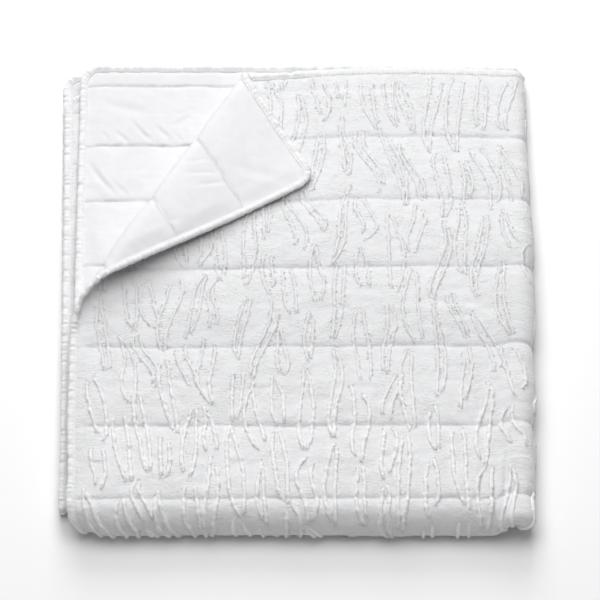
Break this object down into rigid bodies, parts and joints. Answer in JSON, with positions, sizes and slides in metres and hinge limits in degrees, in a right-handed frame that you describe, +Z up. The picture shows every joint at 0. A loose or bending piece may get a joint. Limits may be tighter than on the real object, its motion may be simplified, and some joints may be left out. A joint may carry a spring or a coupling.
{
  "type": "quilted bedspread, folded",
  "caption": "Channel-quilted white bedspread folded in quarters, with a big front roll and one corner turned back to show its plain reverse.",
  "frame": {"origin": "middle of the underside of the folded packet's bounding box", "axes": "+Z up, +Y from the rolled front towards the bound rear edges, +X towards the right-hand fold"},
  "size_m": [0.6066, 0.6918, 0.0823],
  "materials": {
    "face_cotton": "white cotton with clipped yarn tufts, matte",
    "backing_percale": "white plain-weave percale, matte",
    "binding_percale": "white plain-weave binding, matte"
  },
  "bodies": {
    "root": {"face_panel": "face_cotton", "backing_panel": "backing_percale", "edge_binding": "binding_percale"}
  },
  "joints": []
}
